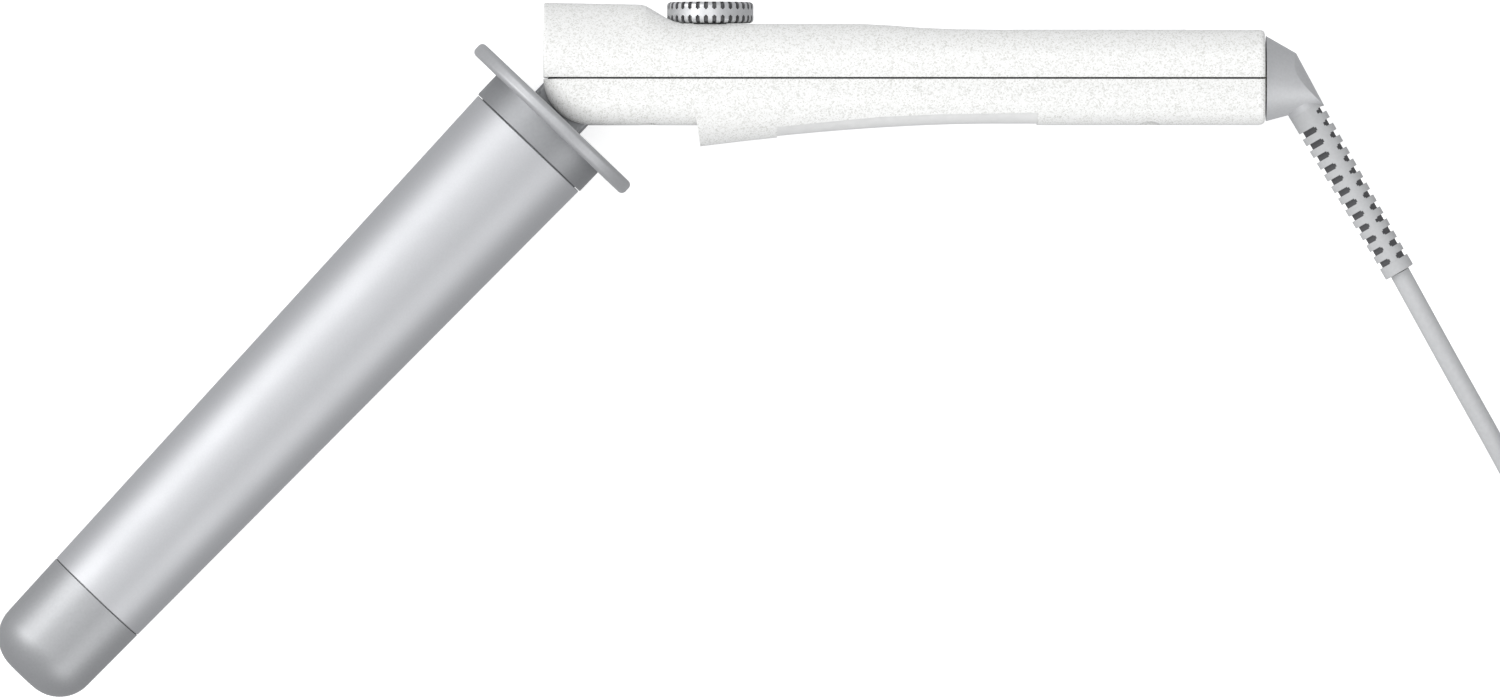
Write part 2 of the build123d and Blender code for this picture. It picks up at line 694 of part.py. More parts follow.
def temperature_sensor():
    s = 47.0
    bead_y = tube_radius(s, TUBE_WALL) - 1.5
    bead = Pos(0, bead_y, s) * Sphere(1.3)
    return BARREL * (bead + rod((0, bead_y, s), (0, bead_y - 0.6, 28), 0.5))


def end_bracket():
    radius = tube_radius(BRACKET_S, TUBE_WALL) - 0.05
    cup = rod((0, 0, BRACKET_S - 4), (0, 0, BRACKET_S), radius)
    cup -= rod((0, 0, BRACKET_S - 5), (0, 0, BRACKET_S - 1), radius - 0.8)
    cup -= [rod((sign * 6, 0, BRACKET_S - 3), (sign * 6, 0, BRACKET_S + 1), 2.0) for sign in (1, -1)]
    return BARREL * (cup - rod((0, 0, BRACKET_S - 3), (0, 0, BRACKET_S + 1), 1.5))


def tip_screw():
    head = rod((0, 0, BRACKET_S - 2.6), (0, 0, BRACKET_S - 1), 2.5)
    return BARREL * (head + rod((0, 0, BRACKET_S - 1), (0, 0, TUBE_END + 10), 1.25))


# ---------------------------------------------------------------- cord swivel

def relief_plane():
    start, end = Vector(*RELIEF_ROOT, 0), Vector(*RELIEF_TIP, 0)
    heading = (end - start).normalized()
    return Plane(origin=start, x_dir=(-heading.Y, heading.X, 0), z_dir=heading), (end - start).length


RELIEF, RELIEF_LENGTH = relief_plane()


def cord_inner():
    """The cord's stretch inside the hub, the elbow and the strain relief."""
    slope = (RELIEF_TIP[0] - RELIEF_ROOT[0]) / (RELIEF_TIP[1] - RELIEF_ROOT[1])
    corner = (RELIEF_ROOT[0] - RELIEF_ROOT[1] * slope, 0, 0)
    return wire_run([(HUB_START_X + 7, 0, 0), corner, (*RELIEF_TIP, 0)], CORD_RADIUS, 6.0)


def elbow_cone():
    """Leaning cone whose far side is rounded off along the strain relief's direction."""
    end_x = 170.0
    share = (end_x - ELBOW_X) / (ELBOW_MID_X - ELBOW_X)
    end_radius = ELBOW_RADIUS + (ELBOW_MID_RADIUS - ELBOW_RADIUS) * share
    base = Plane(origin=(ELBOW_X, 0, 0), z_dir=(1, 0, 0)) * Circle(ELBOW_RADIUS)
    nose = Plane(origin=(end_x, ELBOW_MID_Y * share, 0), z_dir=(1, 0, 0)) * Circle(end_radius)
    cone = loft([base, nose])
    (x0, y0), (x1, y1) = ELBOW_FACET
    along = Vector(x1 - x0, y1 - y0, 0).normalized()
    inward = Vector(along.Y, -along.X, 0)
    middle = Vector(x0, y0, 0) + inward * ELBOW_FACET_RADIUS
    return cone & rod(tuple(middle - along * 40), tuple(middle + along * 40), ELBOW_FACET_RADIUS)


def swivel_elbow():
    stub = RELIEF * turned([(0, -7), (RELIEF_ROOT_RADIUS, -7), (RELIEF_ROOT_RADIUS, 0.6), (0, 0.6)])
    stub &= block((ELBOW_X + 1, 200), (-50, 50), (-20, 20))
    return elbow_cone() + stub - cord_inner()


def strain_relief():
    """Tapered sleeve with a row of slots down each side and a plain spine between them."""
    band = RELIEF_TIP_RADIUS + 0.1
    sleeve = turned([(0, 0.6), (RELIEF_ROOT_RADIUS, 0.6), (RELIEF_TIP_RADIUS, RELIEF_LENGTH - 2.8),
                     (band, RELIEF_LENGTH - 2.8), (band, RELIEF_LENGTH), (0, RELIEF_LENGTH)])
    core = turned([(0, -5), (RELIEF_CORE_ROOT, -5), (RELIEF_CORE_TIP, RELIEF_LENGTH + 5), (0, RELIEF_LENGTH + 5)])
    cutters = []
    for sign, count, spine in ((-1, 12, SPINE_LEFT), (1, 13, SPINE_RIGHT)):
        for i in range(count):
            s = RELIEF_LAST_SLOT - i * RELIEF_PITCH
            inner = spine - 0.03 * s * (sign < 0) * 0.5
            x_span = sorted((sign * inner, sign * 8))
            slot = block(x_span, (-8, 8), (s - RELIEF_SLOT / 2, s + RELIEF_SLOT / 2))
            near = slot.edges().filter_by(Axis.Y).group_by(Axis.X)[0 if sign > 0 else -1]
            cutters.append(fillet(near, RELIEF_SLOT * 0.45))
    for slot in cutters:
        sleeve -= slot - core
    return RELIEF * sleeve - cord_inner() - elbow_cone()


def swivel_hub():
    hub = rod((HUB_START_X, 0, 0), (ELBOW_X, 0, 0), HUB_RADIUS)
    hub -= rod((HUB_START_X - 1, 0, 0), (HUB_START_X + 7, 0, 0), CORD_RADIUS + 0.6)
    groove = rod((SEAT_X[0] - 1.3, 0, 0), (SEAT_X[0] - 0.3, 0, 0), HUB_RADIUS + 1)
    hub -= groove - rod((0, 0, 0), (200, 0, 0), HUB_RADIUS - 0.8)
    return hub - cord_inner()


def retaining_clip():
    clip = rod((SEAT_X[0] - 1.3, 0, 0), (SEAT_X[0] - 0.3, 0, 0), HUB_RADIUS + 1.8)
    clip -= rod((0, 0, 0), (200, 0, 0), HUB_RADIUS - 0.8)
    return clip - block((130, 150), (2.5, 12), (-2.6, 2.6))


def slip_rings():
    rings = []
    for x in (HUB_START_X + 1.0, HUB_START_X + 4.2):
        rings.append(rod((x, 0, 0), (x + 1.8, 0, 0), HUB_RADIUS + 0.5) - rod((x - 1, 0, 0), (x + 3, 0, 0), HUB_RADIUS))
    return rings


def brush_contacts():
    """Leaf contacts that ride on the slip rings."""
    leaves = []
    for x, side in ((HUB_START_X + 1.0, 1), (HUB_START_X + 4.2, -1)):
        z = side * (HUB_RADIUS + 0.6)
        z_span = sorted((z, z + side * 0.5))
        leaf = block((x + 0.2, x + 1.6), (-6.5, 4.0), z_span)
        leaves.append(leaf + block((132.0, x + 1.6), (-7.5, -6.5), z_span))
    return leaves


def swivel_seat():
    seat = rod((SEAT_X[0], 0, 0), (SEAT_X[1], 0, 0), SEAT_RADIUS)
    return seat - rod((SEAT_X[0] - 1, 0, 0), (SEAT_X[1] + 1, 0, 0), HUB_RADIUS + PIN_CLEAR)


# ---------------------------------------------------------------- cord

def coil_centre():
    """The lead runs past the coil's outer turn, which lies on its left."""
    outer = COIL_MID_RADIUS + COIL_PITCH * (COIL_ROWS - 1) / 2
    touch = Vector(*RELIEF_TIP, 0) + Vector(*CORD_HEADING, 0) * COIL_LEAD_IN
    return touch + Vector(-CORD_HEADING[1], CORD_HEADING[0], 0) * outer, outer


COIL_CENTRE, COIL_OUTER_TURN = coil_centre()


def route(start, heading, steps):
    """Points of a route that runs straight in plan and changes height."""
    return [(start.X + heading[0] * run, start.Y + heading[1] * run, FLOOR_Z + height) for run, height in steps]


def route_radii(points):
    """Arc at each corner: 0.45 of the shorter run over the tangent of half the turn."""
    points = [Vector(*p) for p in points]
    radii = []
    for before, corner, after in zip(points, points[1:], points[2:]):
        turn = radians((corner - before).get_angle(after - corner))
        radii.append(0.45 * min((corner - before).length, (after - corner).length) / tan(turn / 2))
    return radii


def cord_tube(name, points):
    radii = route_radii(points)
    path = FilletPolyline(*points, radius=radii)
    tube = sweep(path_section(path, CORD_RADIUS), path=path)
    share = tube.volume / (pi * CORD_RADIUS ** 2 * path.length)
    print(f"{name}: length {path.length:.1f}, radii {[round(r) for r in radii]}, volume share {share:.4f}")
    return tube


def cord_lead():
    start = Vector(*RELIEF_TIP, 0) + Vector(*CORD_HEADING, 0) * CORD_GAP
    return cord_tube("cord_lead", route(start, CORD_HEADING, LEAD_ROUTE))


def tail_start():
    turn = radians(COIL_EXIT_DEG)
    place = COIL_CENTRE + Vector(cos(turn), sin(turn), 0) * COIL_OUTER_TURN
    return place, (-sin(turn), cos(turn))


def cord_tail():
    start, heading = tail_start()
    return cord_tube("cord_tail", route(start, heading, TAIL_ROUTE))


def coil_size():
    reach = COIL_PITCH * (COIL_ROWS - 1) / 2 + CORD_RADIUS
    height = COIL_PITCH * (COIL_LAYERS - 1) + 2 * CORD_RADIUS
    return COIL_MID_RADIUS - reach, COIL_MID_RADIUS + reach, height


def cord_coil():
    inner, outer, height = coil_size()
    ring = turned([(inner, 0), (outer, 0), (outer, height), (inner, height)])
    ring = fillet(ring.edges().filter_by(GeomType.CIRCLE), CORD_RADIUS * 0.9)
    return Pos(COIL_CENTRE.X, COIL_CENTRE.Y, FLOOR_Z + TIE_THICK) * ring


def coil_tie():
    inner, outer, height = coil_size()
    band = Pos(COIL_MID_RADIUS, 0, height / 2 + TIE_THICK) * (
        Box(outer - inner + 2 * (TIE_THICK + TIE_SLACK), TIE_WIDTH, height + 2 * TIE_THICK)
        - Box(outer - inner + 2 * TIE_SLACK, TIE_WIDTH + 1, height))
    return Pos(COIL_CENTRE.X, COIL_CENTRE.Y, FLOOR_Z) * (Rot(0, 0, TIE_DEG) * band)


def plug_plane():
    start, heading = tail_start()
    run, height = TAIL_ROUTE[-1]
    origin = (start.X + heading[0] * run, start.Y + heading[1] * run, FLOOR_Z + height)
    return Plane(origin=origin, x_dir=(heading[1], -heading[0], 0), z_dir=(*heading, 0))


def plug_body():
    """Moulded plug: a tapered boot, a shoulder and a flat two-blade body."""
    wide, thick = PLUG_HALF_WIDTH, PLUG_HALF_THICK
    sections = [(0.0, 3.4, 3.4, 1.5), (PLUG_BOOT, 4.6, 4.4, 2.0), (PLUG_BOOT + 6.0, wide, thick, 4.0),
                (PLUG_BOOT + PLUG_LENGTH - 4.0, wide, thick, 4.0), (PLUG_BOOT + PLUG_LENGTH, wide - 0.8, thick - 0.8, 4.0)]
    faces = [Pos(0, 0, s) * RectangleRounded(2 * w, 2 * t, r) for s, w, t, r in sections]
    return plug_plane() * loft(faces, ruled=True)


def plug_blades():
    end = PLUG_BOOT + PLUG_LENGTH
    blades = []
    for sign in (1, -1):
        blade = Pos(sign * BLADE_SPACING / 2, 0, end + BLADE[2] / 2) * Box(BLADE[1], BLADE[0], BLADE[2])
        hole = rod((sign * 9, 0, end + 12.5), (sign * 3, 0, end + 12.5), 1.6)
        blades.append(plug_plane() * (blade - hole))
    return blades


# ---------------------------------------------------------------- the whole wand

WAND_NODES = [
    upper_shell, lower_shell, grip_pad, badge_plate, shell_screws, hinge_pin, wave_washers, circuit_board,
    board_screws, potentiometer_body, triac, film_capacitor, line_fuse, handle_wires, swivel_seat,
    brush_contacts, temperature_dial, dial_shaft, barrel_neck, heat_shield, neck_screws, barrel_collar,
    barrel_tube, tip_cap, insulating_ring, heater_clamps, ptc_stones, electrode_plates, mica_sheets,
    heater_leads, thermal_cutout, temperature_sensor, end_bracket, tip_screw, cord_inner, swivel_elbow,
    strain_relief, swivel_hub, retaining_clip, slip_rings,
]
CORD_NODES = [cord_lead, cord_coil, coil_tie, cord_tail, plug_body, plug_blades]


def as_shape(made):
    """One shape for a node, from a solid or a list of solids."""
    solids = []
    for piece in made if isinstance(made, list) else [made]:
        solids += piece.solids()
    return solids[0] if len(solids) == 1 else Compound(solids)


def main():
    os.makedirs("parts", exist_ok=True)
    wand = {make.__name__: as_shape(make()) for make in WAND_NODES}
    cord = {make.__name__: as_shape(make()) for make in CORD_NODES}
    box = Compound(list(wand.values())).bounding_box()
    shift = Pos(-(box.min.X + box.max.X) / 2, -(box.min.Y + box.max.Y) / 2, -box.min.Z)
    print("hinge at", [round(v, 3) for v in shift.position])
    for name, shape in (wand | cord).items():
        export_step(shift * shape, f"parts/{name}.step")


if __name__ == "__main__":
    main()
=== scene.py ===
import json
import math

import bmesh
import bpy
from mathutils import Matrix, Vector


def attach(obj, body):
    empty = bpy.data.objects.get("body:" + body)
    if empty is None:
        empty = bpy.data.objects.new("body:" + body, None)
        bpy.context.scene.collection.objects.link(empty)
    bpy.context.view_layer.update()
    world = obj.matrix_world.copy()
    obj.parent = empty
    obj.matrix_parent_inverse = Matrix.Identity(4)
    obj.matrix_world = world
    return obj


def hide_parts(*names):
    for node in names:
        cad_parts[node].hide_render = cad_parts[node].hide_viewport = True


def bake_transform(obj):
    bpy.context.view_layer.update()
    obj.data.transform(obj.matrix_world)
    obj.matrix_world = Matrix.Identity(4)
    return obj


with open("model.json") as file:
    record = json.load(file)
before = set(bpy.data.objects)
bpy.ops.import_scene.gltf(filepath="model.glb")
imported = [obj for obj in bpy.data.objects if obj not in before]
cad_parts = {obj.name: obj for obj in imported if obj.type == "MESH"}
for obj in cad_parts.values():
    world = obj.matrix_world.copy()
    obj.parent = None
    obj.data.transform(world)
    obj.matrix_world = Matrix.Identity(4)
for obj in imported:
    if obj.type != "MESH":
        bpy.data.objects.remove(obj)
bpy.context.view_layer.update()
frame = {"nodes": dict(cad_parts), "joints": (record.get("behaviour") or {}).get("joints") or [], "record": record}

MM = 0.001
JOINTS = {joint["name"]: joint for joint in frame["joints"]}
HINGE = Vector(JOINTS["barrel_fold"]["pos_m"])
CORD_RADIUS = 2.3 * MM


def place(x, y, z=0.0):
    """A point given in millimetres from the middle of the fold hinge."""
    return HINGE + Vector((x, y, z)) * MM


# ------------------------------------------------------------ camera

VIEW_WIDTH = 343.35 * MM
VIEW_CENTRE = place(36.6, -61.9)
LENS = 500.0


def make_camera():
    """Looks straight down on the wand, which lies on its side."""
    data = bpy.data.cameras.new("camera")
    data.lens = LENS
    camera = bpy.data.objects.new("camera", data)
    bpy.context.scene.collection.objects.link(camera)
    distance = VIEW_WIDTH * LENS / data.sensor_width
    camera.location = VIEW_CENTRE + Vector((0, 0, distance))
    data.clip_start = 0.1
    data.clip_end = 20
    bpy.context.scene.camera = camera


make_camera()


# ------------------------------------------------------------ the cord's route

RELIEF_TIP = (185.3, -44.3)
CORD_GAP = 0.02
CORD_HEADING = (0.482, -0.876)
COIL_MID_RADIUS = 23.0
COIL_PITCH = 4.7
COIL_LEAD_IN = 75.0
COIL_TURNS = 11.5
COIL_POINTS = 16
COIL_SWAP = 0.28
COIL_EXIT = math.radians(30.0)
TIE_ANGLE = math.radians(-60.0)
TIE_THICK = 0.8
TIE_SPREAD = 0.5
COIL_LAYERS = 4
FLOOR_DROP = -HINGE.z / MM
# run along the heading, height above the floor, drift sideways
LEAD_ROUTE = [
    (0.0, 23.7, 0.0),
    (14.0, 22.9, 0.0),
    (29.0, 17.2, 0.2),
    (45.0, 8.2, 0.6),
    (59.0, 3.1, 0.6),
    (71.0, 2.3, 0.2),
]
TAIL_ROUTE = [
    (0.0, 16.4, 0.0),
    (13.0, 16.1, 0.0),
    (27.0, 11.4, 0.0),
    (41.0, 7.0, 0.0),
    (54.0, 7.0, 0.0),
]


def straight_route(start, heading, steps):
    """Points that run nearly straight in plan and change height."""
    points = []
    for run, height, drift in steps:
        x = start[0] + heading[0] * run - heading[1] * drift
        y = start[1] + heading[1] * run + heading[0] * drift
        points.append(place(x, y, FLOOR_DROP + height))
    return points


def coil_places():
    """Centre and outer radius of the coil, and the angle at which the lead meets it."""
    outer = COIL_MID_RADIUS + COIL_PITCH
    side = (-CORD_HEADING[1], CORD_HEADING[0])
    touch = [RELIEF_TIP[i] + CORD_HEADING[i] * COIL_LEAD_IN for i in (0, 1)]
    centre = [touch[i] + side[i] * outer for i in (0, 1)]
    return centre, outer, math.atan2(-side[1], -side[0])


def coil_slots():
    """Seats of the turns, wound in on one layer and out on the next: (radius, layer)."""
    radii = [COIL_MID_RADIUS + COIL_PITCH * i for i in (1, 0, -1)]
    slots = []
    for layer in range(COIL_LAYERS):
        inwards = layer % 2 == 0
        slots += [(radius, layer) for radius in (radii if inwards else radii[::-1])]
    return slots + [slots[-1]]


def coil_points():
    """Control points of the wound turns, lifted a little where they cross the tie."""
    centre, _, start = coil_places()
    slots = coil_slots()
    # the curve cuts inside its control points, so they stand this much further out
    swell = 2 / (1 + math.cos(math.pi / COIL_POINTS))
    points = []
    for i in range(1, int(COIL_TURNS * COIL_POINTS)):
        turn, part = divmod(i / COIL_POINTS, 1.0)
        seat_radius, layer = slots[int(turn)]
        next_radius, next_layer = slots[int(turn) + 1]
        share = max(0.0, (part - 1 + COIL_SWAP) / COIL_SWAP)
        share = share * share * (3 - 2 * share)
        angle = start + 2 * math.pi * i / COIL_POINTS
        away = math.remainder(angle - TIE_ANGLE, 2 * math.pi)
        lift = TIE_THICK * math.exp(-((away / TIE_SPREAD) ** 2))
        radius = (seat_radius + (next_radius - seat_radius) * share) * swell
        height = CORD_RADIUS / MM + COIL_PITCH * (layer + (next_layer - layer) * share) + lift
        x = centre[0] + radius * math.cos(angle)
        y = centre[1] + radius * math.sin(angle)
        points.append(place(x, y, FLOOR_DROP + height))
    return points


def tail_start():
    """Where the cord leaves the coil for the plug, and its heading there."""
    centre, outer, _ = coil_places()
    spot = (centre[0] + outer * math.cos(COIL_EXIT), centre[1] + outer * math.sin(COIL_EXIT))
    return spot, (-math.sin(COIL_EXIT), math.cos(COIL_EXIT))


def cord_route():
    """Control points of the whole cord, from the sleeve's tip to the plug."""
    start = [RELIEF_TIP[i] + CORD_HEADING[i] * CORD_GAP for i in (0, 1)]
    lead = straight_route(start, CORD_HEADING, LEAD_ROUTE)
    tail = straight_route(*tail_start(), TAIL_ROUTE)
    return lead + coil_points() + tail


def link(name, data):
    """Puts a new object with this data in the scene."""
    thing = bpy.data.objects.new(name, data)
    bpy.context.scene.collection.objects.link(thing)
    return thing


def curve_mesh(name, points, radius):
    """Mesh of a smooth curve through these control points: its line, or a tube of this radius."""
    data = bpy.data.curves.new(name + "_route", "CURVE")
    data.dimensions = "3D"
    spline = data.splines.new("NURBS")
    spline.points.add(len(points) - 1)
    for control, point in zip(spline.points, points):
        control.co = (*point, 1)
    spline.order_u = 3
    spline.use_endpoint_u = True
    spline.resolution_u = 4
    data.bevel_depth = radius
    data.bevel_resolution = 3
    data.use_fill_caps = True
    route = link(name + "_route", data)
    graph = bpy.context.evaluated_depsgraph_get()
    mesh = bpy.data.meshes.new_from_object(route.evaluated_get(graph))
    bpy.data.objects.remove(route)
    return mesh


def make_cord():
    """Round cord in one piece: lead, coil and tail."""
    points = cord_route()
    line = [tuple(v.co) for v in curve_mesh("cord", points, 0.0).vertices]
    mesh = curve_mesh("cord", points, CORD_RADIUS)
    cord = link("cord", mesh)
    for face in mesh.polygons:
        face.use_smooth = True
    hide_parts("cord_lead", "cord_coil", "cord_tail")
    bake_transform(cord)
    return cord


# ------------------------------------------------------------ shared steps

MERGE_DISTANCE = 1e-6
SHARP_ANGLE = math.radians(35.0)


def clean(shape):
    """Merges doubled corners and turns every face outwards."""
    bmesh.ops.remove_doubles(shape, verts=shape.verts, dist=MERGE_DISTANCE)
    bmesh.ops.recalc_face_normals(shape, faces=shape.faces)


def close_mesh(shape, name):
    """Cleans a finished shape and links it as an object that is smooth off its sharp edges."""
    clean(shape)
    for edge in shape.edges:
        edge.smooth = len(edge.link_faces) == 2 and edge.calc_face_angle(0.0) < SHARP_ANGLE
    for face in shape.faces:
        face.smooth = True
    mesh = bpy.data.meshes.new(name)
    shape.to_mesh(mesh)
    shape.free()
    return link(name, mesh)


def turned_shape(outline, steps):
    """Round shape about local Z from (radius, height) corners in millimetres."""
    shape = bmesh.new()
    verts = [shape.verts.new((radius * MM, 0, height * MM)) for radius, height in outline]
    chain = verts + [shape.edges.new(pair) for pair in zip(verts, verts[1:])]
    bmesh.ops.spin(shape, geom=chain, axis=(0, 0, 1), cent=(0, 0, 0), angle=2 * math.pi, steps=steps,
                   use_merge=True)
    clean(shape)
    return shape


def sink_faces(shape, faces):
    """Swaps these faces for copies joined on by new walls, ready to be sunk; returns what was added."""
    grown = bmesh.ops.extrude_face_region(shape, geom=faces)["geom"]
    bmesh.ops.delete(shape, geom=faces, context="FACES")
    return grown


# ------------------------------------------------------------ temperature dial

DIAL_X = 27.5
DIAL_BOTTOM = 12.68
DIAL_HEIGHT = 4.82
DIAL_RADIUS = 9.88
DIAL_EDGE = 0.9
DIAL_EDGE_ANGLES = (-90, -67, -45, -22, 0)
DIAL_NECK = [(0, -1.0), (3.6, -1.0), (3.8, 0.0), (6.0, 0.0)]
DIAL_RIM = (0.5, 0.8)
DIAL_DISH = 0.3
DIAL_DISH_MIDDLE = 1.0
DIAL_NOTCHES = 32
NOTCH_STEPS = 8
NOTCH_LENGTH = 1.75
NOTCH_ROUND = 0.25
NOTCH_DEPTH = 0.95
NOTCH_MARGIN = 0.15
# half width of a notch over the spacing of notches, and the same at its rounded end
NOTCH_SHARE = 0.27
NOTCH_END_SHARE = 0.15


def dial_outline():
    """Half section of the dial, from the foot of its neck to the middle of its top."""
    top = DIAL_HEIGHT
    mid = DIAL_RADIUS - DIAL_EDGE
    edge = DIAL_EDGE
    outline = list(DIAL_NECK)
    arc = [math.radians(a) for a in DIAL_EDGE_ANGLES]
    outline += [(mid + edge * math.cos(a), edge + edge * math.sin(a)) for a in arc]
    rows = (NOTCH_LENGTH - NOTCH_ROUND, NOTCH_LENGTH)
    outline += [(DIAL_RADIUS, row) for row in rows] + [(DIAL_RADIUS, top / 2)]
    outline += [(DIAL_RADIUS, top - row) for row in rows[::-1]]
    outline += [(mid + edge * math.cos(a), top - edge - edge * math.sin(a)) for a in arc[::-1]]
    floor = top - DIAL_DISH
    outline += [(mid - DIAL_RIM[0], top), (mid - DIAL_RIM[1], floor)]
    return outline + [(DIAL_DISH_MIDDLE, floor), (0, floor)]


def notch_faces(shape, upper):
    """Faces of every notch in one rim; each notch is narrower at its inner end."""
    found = []
    pitch = 2 * math.pi / DIAL_NOTCHES
    middle = DIAL_HEIGHT / 2
    for face in shape.faces:
        spot = face.calc_center_median() / MM
        reach = math.hypot(spot.x, spot.y)
        high = spot.z - middle if upper else middle - spot.z
        if reach < DIAL_RADIUS - DIAL_EDGE or high < middle - NOTCH_LENGTH:
            continue
        turn = (math.atan2(spot.y, spot.x) / pitch) % 1.0
        narrow = high < middle - NOTCH_LENGTH + NOTCH_ROUND
        if abs(turn - 0.5) < (NOTCH_END_SHARE if narrow else NOTCH_SHARE):
            found.append(face)
    return found


def make_dial():
    """Knurled temperature dial with a row of notches round each rim, their walls and floors painted dark as
    painted shade.
    """
    shape = turned_shape(dial_outline(), DIAL_NOTCHES * NOTCH_STEPS)
    for upper in (True, False):
        floors = notch_faces(shape, upper)
        before = set(shape.faces)
        grown = sink_faces(shape, floors)
        inner = [v for v in grown if isinstance(v, bmesh.types.BMVert)]
        for vert in inner:
            reach = math.hypot(vert.co.x, vert.co.y)
            share = 1 - NOTCH_DEPTH * MM / reach
            vert.co.x *= share
            vert.co.y *= share
            vert.co.z = min(max(vert.co.z, NOTCH_MARGIN * MM), (DIAL_HEIGHT - NOTCH_MARGIN) * MM)
        # the notches' new walls and floors go on slot 1, a dark grey that is painted shade in the notches
        for face in shape.faces:
            if face not in before:
                face.material_index = 1
    turn = Matrix.Rotation(math.radians(-90), 4, "X")
    seat = Matrix.Translation(place(DIAL_X, DIAL_BOTTOM))
    bmesh.ops.transform(shape, matrix=seat @ turn, verts=shape.verts)
    dial = close_mesh(shape, "temperature_dial_detail")
    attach(dial, "dial")
    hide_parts("temperature_dial")
    return dial


# ------------------------------------------------------------ strain relief

RELIEF_ROOT = (163.5, -6.75)
RELIEF_ROOT_RADIUS = 4.1
RELIEF_ROOT_GAP = 0.1
RELIEF_ROOT_EDGE = 0.3
RELIEF_TIP_RADIUS = 3.5
RELIEF_CORE = (3.15, 2.85)
RELIEF_BAND = 2.8
RELIEF_LIP = 0.1
RELIEF_LIP_EDGE = 0.15
RELIEF_MOUTH = (2.45, 2.4)
RELIEF_MOUTH_DEPTH = 1.0
RELIEF_STEPS = 64
RELIEF_PITCH = 3.14
RELIEF_SLOT = 1.4
LAST_SLOT = 39.95
SLOT_ROUND = 0.3
SLOT_MARGIN = 0.2
SLOT_END = 0.4
SLOT_COUNTS = (12, 13)
# half width of the plain spine at the elbow and at the last slot, for each row
SPINES = ((0.0, 0.7), (2.15, 0.93))


def relief_length():
    """Length of the sleeve in millimetres."""
    return math.dist(RELIEF_ROOT, RELIEF_TIP)


def relief_matrix():
    """Local Z runs from the elbow to the cord, local X to the side away from the handle."""
    length = relief_length()
    ahead = Vector([(RELIEF_TIP[i] - RELIEF_ROOT[i]) / length for i in (0, 1)] + [0])
    side = Vector((-ahead.y, ahead.x, 0))
    turn = Matrix((side, ahead.cross(side), ahead)).transposed().to_4x4()
    return Matrix.Translation(place(*RELIEF_ROOT)) @ turn


def relief_outline():
    """Half section of the sleeve, with a row of corners at both ends of every slot."""
    length = relief_length()
    band = length - RELIEF_BAND
    foot = RELIEF_ROOT_GAP
    edge = RELIEF_ROOT_EDGE
    outline = [(0, foot), (RELIEF_ROOT_RADIUS - edge, foot), (RELIEF_ROOT_RADIUS, foot + edge)]
    half = RELIEF_SLOT / 2
    for i in reversed(range(max(SLOT_COUNTS))):
        middle = LAST_SLOT - i * RELIEF_PITCH
        for at in (middle - half, middle - half + SLOT_ROUND, middle + half - SLOT_ROUND, middle + half):
            share = at / band
            outline.append((RELIEF_ROOT_RADIUS + (RELIEF_TIP_RADIUS - RELIEF_ROOT_RADIUS) * share, at))
    lip = RELIEF_TIP_RADIUS + RELIEF_LIP
    outline += [(RELIEF_TIP_RADIUS, band), (lip, band + RELIEF_LIP)]
    outline += [(lip, length - RELIEF_LIP_EDGE), (lip - RELIEF_LIP_EDGE, length)]
    seat = length - RELIEF_MOUTH_DEPTH
    return outline + [(RELIEF_MOUTH[0], length), (RELIEF_MOUTH[1], seat), (0, seat)]


def slot_faces(shape):
    """Faces of every slot: two rows with a plain spine between them on both flat sides."""
    found = []
    for face in shape.faces:
        spot = face.calc_center_median() / MM
        if math.hypot(spot.x, spot.y) < RELIEF_CORE[0] + SLOT_MARGIN:
            continue
        row = round((LAST_SLOT - spot.z) / RELIEF_PITCH)
        off = abs(spot.z - LAST_SLOT + row * RELIEF_PITCH)
        side = int(spot.x > 0)
        if off > RELIEF_SLOT / 2 or not 0 <= row < SLOT_COUNTS[side]:
            continue
        root, tip = SPINES[side]
        end = root + (tip - root) * spot.z / LAST_SLOT
        if off > RELIEF_SLOT / 2 - SLOT_ROUND:
            end += SLOT_END
        if abs(spot.x) > end:
            found.append(face)
    return found


def make_relief():
    """Slotted rubber sleeve that keeps the cord from kinking, its slot walls and floors painted dark as painted
    shade.
    """
    shape = turned_shape(relief_outline(), RELIEF_STEPS)
    for part in sink_faces(shape, slot_faces(shape)):
        # the slots' new walls and floors go on slot 1, a near black that is painted shade in the slots
        if isinstance(part, bmesh.types.BMFace):
            part.material_index = 1
        if isinstance(part, bmesh.types.BMVert):
            share = part.co.z / MM / relief_length()
            core = RELIEF_CORE[0] + (RELIEF_CORE[1] - RELIEF_CORE[0]) * share
            part.co.xy *= core * MM / math.hypot(part.co.x, part.co.y)
    bmesh.ops.transform(shape, matrix=relief_matrix(), verts=shape.verts)
    relief = close_mesh(shape, "strain_relief_sleeve")
    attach(relief, "cord_swivel")
    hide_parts("strain_relief")
    return relief


# ------------------------------------------------------------ painted shade in the parting gaps

SEAM_PATH = [(-9.5, 7.0), (-9.5, 9.0), (-7.6, 12.0), (-5.0, 13.3), (24.0, 13.4), (153.1, 11.3), (153.1, 6.4)]
SEAM_WIDTH = 0.5
SEAM_THICK = 0.25


